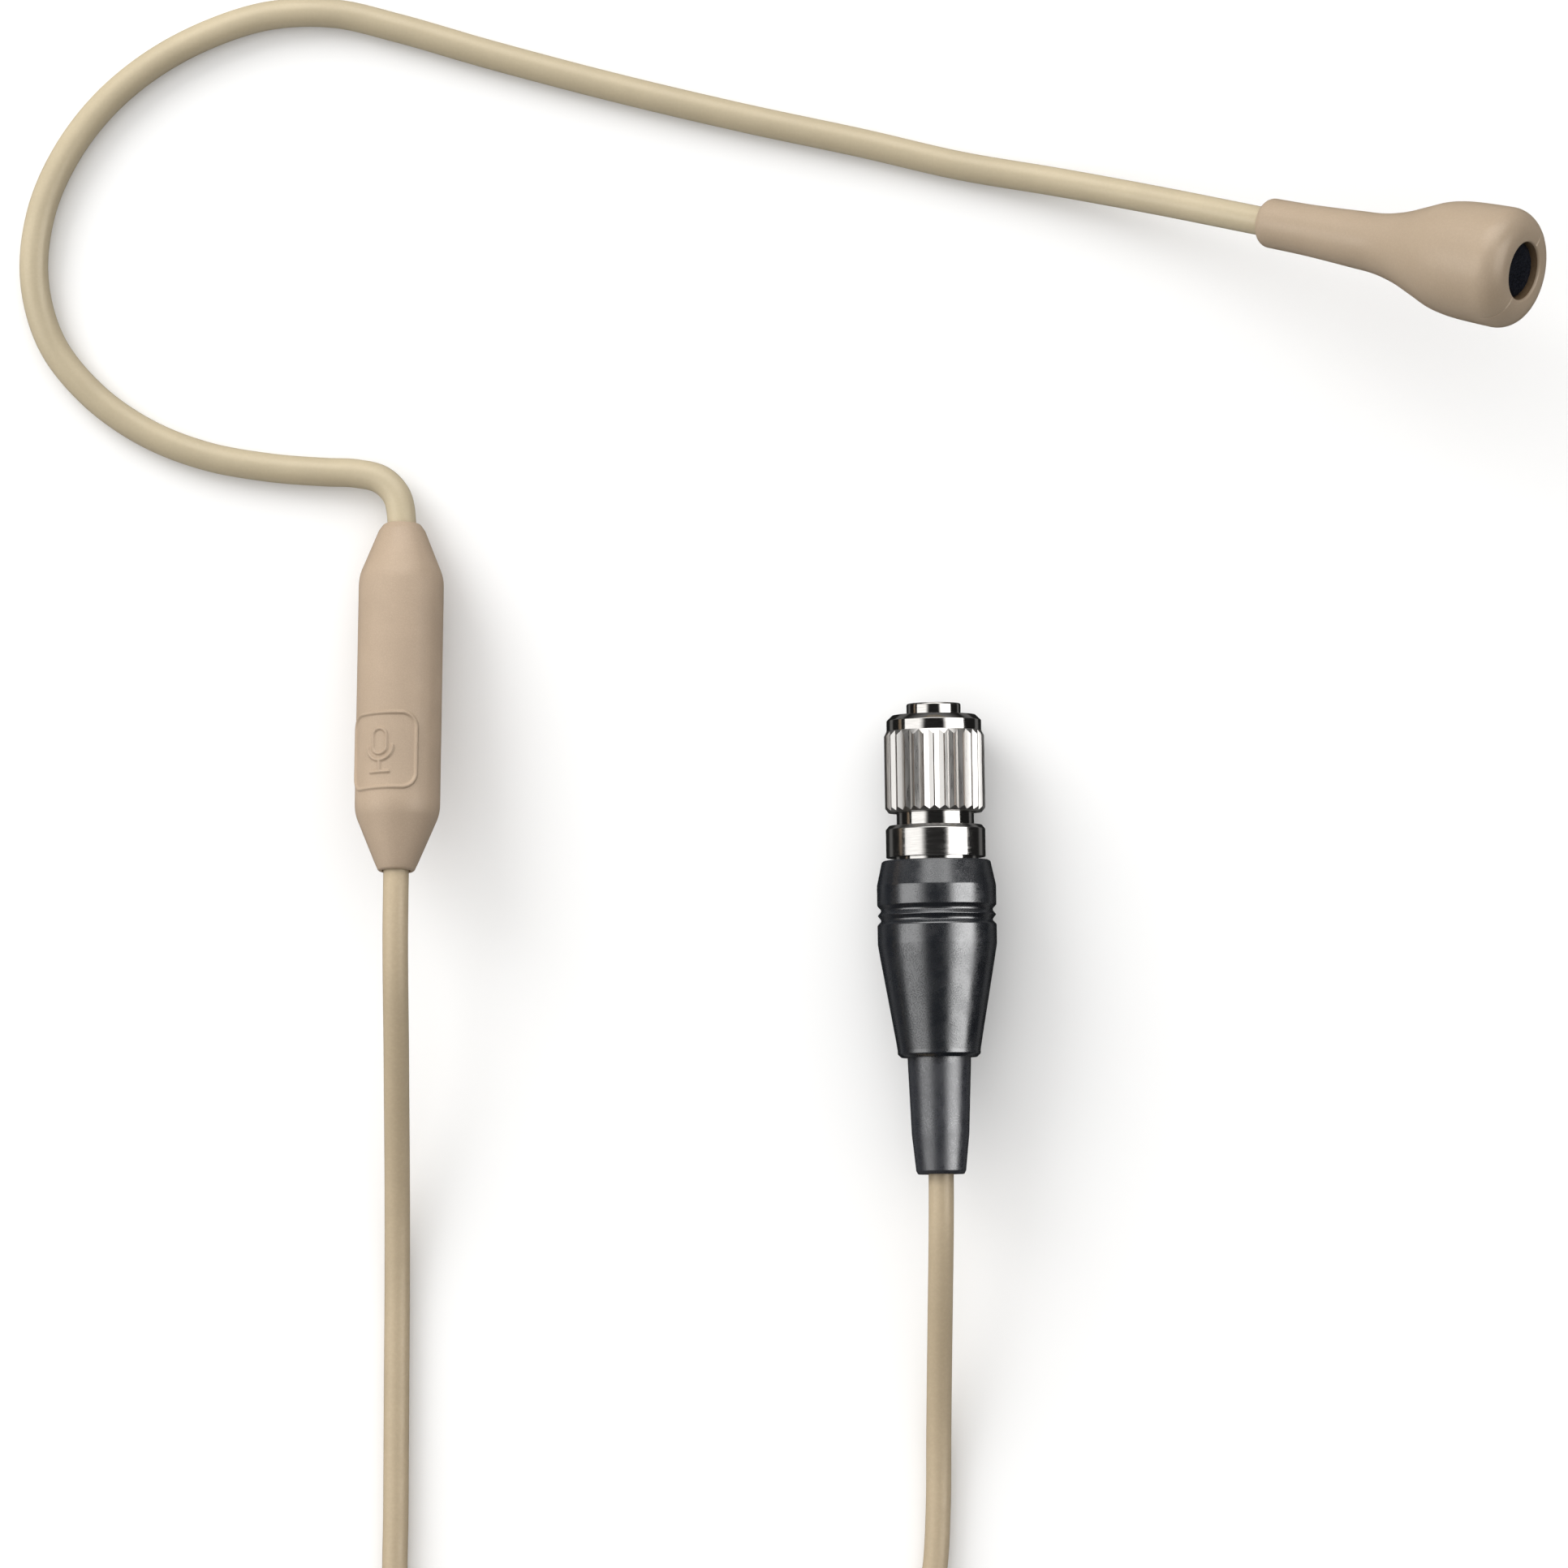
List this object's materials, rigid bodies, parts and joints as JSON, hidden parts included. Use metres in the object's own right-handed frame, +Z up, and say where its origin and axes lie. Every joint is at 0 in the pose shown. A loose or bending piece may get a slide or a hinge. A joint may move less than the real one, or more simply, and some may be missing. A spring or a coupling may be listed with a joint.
{
  "type": "headset microphone",
  "caption": "Ear-worn headset microphone with a bendable boom, ear loop, slim barrel, thin cable and a push-pull locking plug with a knurled coupling.",
  "frame": {"origin": "centre of the headset's footprint on the table (box of the head, boom and barrel, without the cable and its plug)", "axes": "+X along the boom from the ear loop towards the head, +Y across the table from the cable's side to the boom's, +Z up from the table"},
  "size_m": [0.1507, 0.203, 0.0311],
  "materials": {
    "skin_rubber": "matte, fine grain",
    "skin_plastic": "matte, fine grain",
    "boom_jacket": "satin flexible jacket",
    "cable_jacket": "satin jacket",
    "foam": "open-cell foam",
    "nickel": "bright nickel plating",
    "steel": "plain steel",
    "gold": "gold plating",
    "brass": "plain brass",
    "board": "green circuit board",
    "component": "moulded component",
    "insulator": "moulded insulator",
    "lead_plastic": "thin lead insulation",
    "dark_rubber": "matte dark grey, fine grain",
    "black_rubber": "matte",
    "strap_fabric": "hook and loop strap"
  },
  "bodies": {
    "headset": {"backplate": "steel", "barrel_core_1": "lead_plastic", "barrel_core_2": "lead_plastic", "barrel_cover": "skin_plastic", "barrel_screen": "steel", "bias_resistor": "component", "boom_ferrule": "brass", "boom_form_wire": "steel", "boom_jacket": "boom_jacket", "boom_lead_1": "lead_plastic", "boom_lead_2": "lead_plastic", "cable_coil": "cable_jacket", "cable_crimp": "brass", "cable_ferrule": "brass", "cable_tie": "strap_fabric", "cable_to_coil": "cable_jacket", "cable_to_plug": "cable_jacket", "capsule_board": "board", "capsule_can": "steel", "capsule_insulator": "insulator", "capsule_seat": "black_rubber", "capsule_transistor": "component", "collar_spring": "steel", "collar_stop_ring": "steel", "contact_pin_1": "gold", "contact_pin_2": "gold", "contact_pin_3": "gold", "contact_pin_4": "gold", "diaphragm": "gold", "diaphragm_ring": "brass", "element_cover": "skin_rubber", "filter_capacitor_1": "component", "filter_capacitor_2": "component", "foam_windscreen": "foam", "head_ferrule": "steel", "junction_board": "board", "plug_boot": "dark_rubber", "plug_core_1": "lead_plastic", "plug_core_2": "lead_plastic", "plug_core_3": "lead_plastic", "plug_core_4": "lead_plastic", "plug_insulator": "insulator", "plug_nose": "nickel", "rear_shell": "nickel", "strain_relief": "dark_rubber"},
    "collar": {"coupling_collar": "nickel"},
    "claw_1": {"latch_claw_1": "steel"},
    "claw_2": {"latch_claw_2": "steel"}
  },
  "joints": [
    {"name": "collar_slide", "type": "slide", "parent": "headset", "child": "collar", "axis": [0.0157, -0.998, 0.061], "range_m": [0, 0.0012], "stiffness_N_per_m": 1500, "springref_m": -0.002, "deforming": ["collar_spring"]},
    {"name": "claw_1_slide", "type": "slide", "parent": "headset", "child": "claw_1", "axis": [-0.9999, -0.0157, 0], "range_m": [0, 0.0002]},
    {"name": "claw_2_slide", "type": "slide", "parent": "headset", "child": "claw_2", "axis": [0.9999, 0.0157, 0], "range_m": [0, 0.0002]}
  ],
  "couplings": [
    {"joint": "claw_1_slide", "follows": "collar_slide", "ratio": 0.16666},
    {"joint": "claw_2_slide", "follows": "collar_slide", "ratio": 0.16666}
  ]
}
